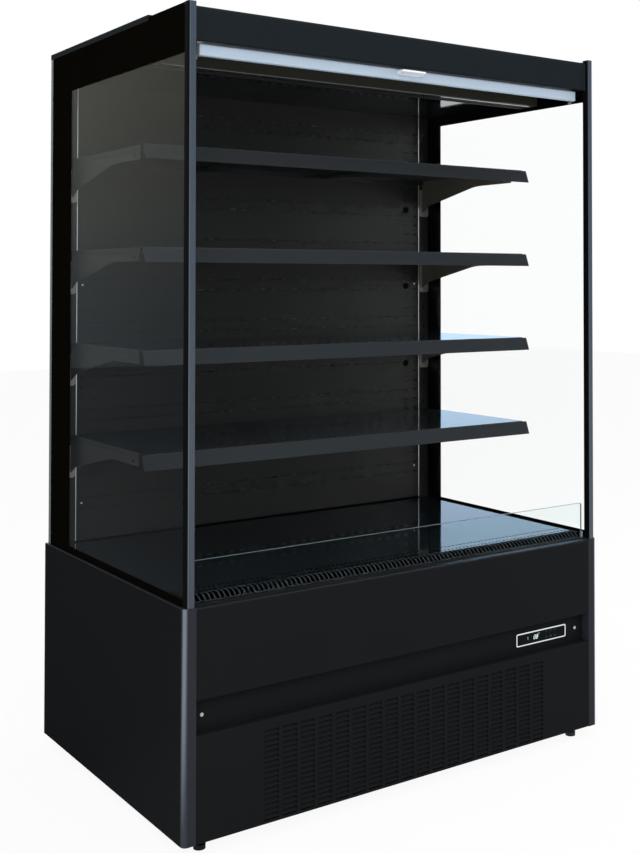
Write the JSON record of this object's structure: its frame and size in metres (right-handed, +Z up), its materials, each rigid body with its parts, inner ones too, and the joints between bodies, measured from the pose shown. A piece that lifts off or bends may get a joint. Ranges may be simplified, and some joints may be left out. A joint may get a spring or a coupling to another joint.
{
  "type": "open multideck display fridge",
  "caption": "Free-standing open-front display fridge with glass ends, shelves on brackets, a pull-down night blind, a louvred base and a row of fans under the deck.",
  "frame": {"origin": "middle of the footprint, on the floor under the feet", "axes": "+X to the right of a customer who faces the open front, -Y out of the open front towards the customer, +Z up"},
  "size_m": [1.33, 0.888, 1.981],
  "materials": {
    "foot_black": "matte",
    "base_paint": "satin",
    "chassis_paint": "satin",
    "back_sheet": "satin",
    "canopy_paint": "satin",
    "cap_plastic": "satin",
    "post_anodised": "satin",
    "skinned_foam": "matte",
    "end_glass": "gloss",
    "riser_glass": "gloss",
    "inner_black": "satin",
    "gloss_black": "gloss",
    "channel_black": "satin",
    "shelf_black": "gloss",
    "shelf_bracket_grey": "satin",
    "strip_grey": "satin",
    "lamp_white": "satin",
    "comb_black": "matte",
    "bezel_chrome": "polished",
    "display_black": "gloss",
    "blind_white": "satin",
    "handle_white": "satin",
    "bracket_grey": "satin",
    "blind_fabric": "matte",
    "fan_black": "satin",
    "motor_grey": "satin",
    "coil_fins": "satin",
    "compressor_black": "satin",
    "copper_pipe": "satin",
    "tray_plastic": "matte"
  },
  "bodies": {
    "cabinet": {"base_side_panel_left": "base_paint", "base_side_panel_right": "base_paint", "base_corner_posts": "base_paint", "front_apron": "base_paint", "louvre_panel": "base_paint", "base_frame": "chassis_paint", "fan_plate": "chassis_paint", "condenser_fan_frame": "chassis_paint", "rear_base_panel": "back_sheet", "rear_casing": "back_sheet", "canopy": "canopy_paint", "roof_cover": "canopy_paint", "canopy_end_caps": "cap_plastic", "post_left": "post_anodised", "post_right": "post_anodised", "insulated_well": "skinned_foam", "rear_wall": "skinned_foam", "roof_panel": "skinned_foam", "side_glass_left": "end_glass", "side_glass_right": "end_glass", "glass_riser": "riser_glass", "inner_back_panel": "inner_black", "shelf_uprights": "inner_black", "return_air_grille": "inner_black", "light_housing": "inner_black", "ceiling_liner": "gloss_black", "riser_channel": "channel_black", "shelf_brackets_left": "shelf_bracket_grey", "shelf_brackets_right": "shelf_bracket_grey", "led_lamp": "lamp_white", "honeycomb_discharge": "comb_black", "controller_bezel": "bezel_chrome", "controller_body": "display_black", "blind_brackets": "bracket_grey", "fan_motors": "motor_grey", "evaporator_coil": "coil_fins", "condenser_coil": "coil_fins", "compressor": "compressor_black", "refrigerant_pipes": "copper_pipe", "condensate_tray": "tray_plastic"},
    "night_blind": {"blind_bar": "blind_white", "blind_handle": "handle_white", "blind_cloth": "blind_fabric"},
    "blind_roller": {"blind_roller": "blind_fabric"},
    "fan_wheel_left": {"fan_wheel_left": "fan_black"},
    "fan_wheel_right": {"fan_wheel_right": "fan_black"},
    "condenser_fan_wheel": {"condenser_fan_wheel": "fan_black"},
    "deck_pan": {"deck_pan": "gloss_black"},
    "foot_front_left": {"foot_front_left": "foot_black"},
    "foot_front_right": {"foot_front_right": "foot_black"},
    "foot_rear_left": {"foot_rear_left": "foot_black"},
    "foot_rear_right": {"foot_rear_right": "foot_black"},
    "shelf_1": {"shelf_1": "shelf_black", "ticket_strip_1": "strip_grey"},
    "shelf_2": {"shelf_2": "shelf_black", "ticket_strip_2": "strip_grey"},
    "shelf_3": {"shelf_3": "shelf_black", "ticket_strip_3": "strip_grey"},
    "shelf_4": {"shelf_4": "shelf_black", "ticket_strip_4": "strip_grey"}
  },
  "joints": [
    {"name": "blind_pull", "type": "slide", "parent": "cabinet", "child": "night_blind", "axis": [0, 0, -1], "range_m": [0, 1.18], "deforming": ["blind_cloth"]},
    {"name": "blind_roll", "type": "hinge", "parent": "cabinet", "child": "blind_roller", "pos_m": [0, -0.3807, 1.925], "axis": [1, 0, 0], "range_deg": [0, 3240]},
    {"name": "fan_left_spin", "type": "hinge", "parent": "cabinet", "child": "fan_wheel_left", "pos_m": [-0.3, -0.202, 0.472], "axis": [0, 1, 0], "continuous": true},
    {"name": "fan_right_spin", "type": "hinge", "parent": "cabinet", "child": "fan_wheel_right", "pos_m": [0.3, -0.202, 0.472], "axis": [0, 1, 0], "continuous": true},
    {"name": "condenser_fan_spin", "type": "hinge", "parent": "cabinet", "child": "condenser_fan_wheel", "pos_m": [-0.025, -0.292, 0.16], "axis": [0, 1, 0], "continuous": true},
    {"name": "deck_lift", "type": "slide", "parent": "cabinet", "child": "deck_pan", "axis": [0, 0, 1], "range_m": [0, 0.15]},
    {"name": "shelf_1_lift", "type": "slide", "parent": "cabinet", "child": "shelf_1", "axis": [0, 0, 1], "range_m": [0, 0.1]},
    {"name": "shelf_2_lift", "type": "slide", "parent": "cabinet", "child": "shelf_2", "axis": [0, 0, 1], "range_m": [0, 0.1]},
    {"name": "shelf_3_lift", "type": "slide", "parent": "cabinet", "child": "shelf_3", "axis": [0, 0, 1], "range_m": [0, 0.1]},
    {"name": "shelf_4_lift", "type": "slide", "parent": "cabinet", "child": "shelf_4", "axis": [0, 0, 1], "range_m": [0, 0.1]},
    {"name": "foot_front_left_screw", "type": "hinge", "parent": "cabinet", "child": "foot_front_left", "pos_m": [-0.6, -0.399, 0.03], "axis": [0, 0, 1], "range_deg": [-720, 720]},
    {"name": "foot_front_right_screw", "type": "hinge", "parent": "cabinet", "child": "foot_front_right", "pos_m": [0.6, -0.399, 0.03], "axis": [0, 0, 1], "range_deg": [-720, 720]},
    {"name": "foot_rear_left_screw", "type": "hinge", "parent": "cabinet", "child": "foot_rear_left", "pos_m": [-0.6, 0.399, 0.03], "axis": [0, 0, 1], "range_deg": [-720, 720]},
    {"name": "foot_rear_right_screw", "type": "hinge", "parent": "cabinet", "child": "foot_rear_right", "pos_m": [0.6, 0.399, 0.03], "axis": [0, 0, 1], "range_deg": [-720, 720]}
  ],
  "couplings": [
    {"joint": "blind_roll", "follows": "blind_pull", "rad_per_m": 47.619}
  ]
}
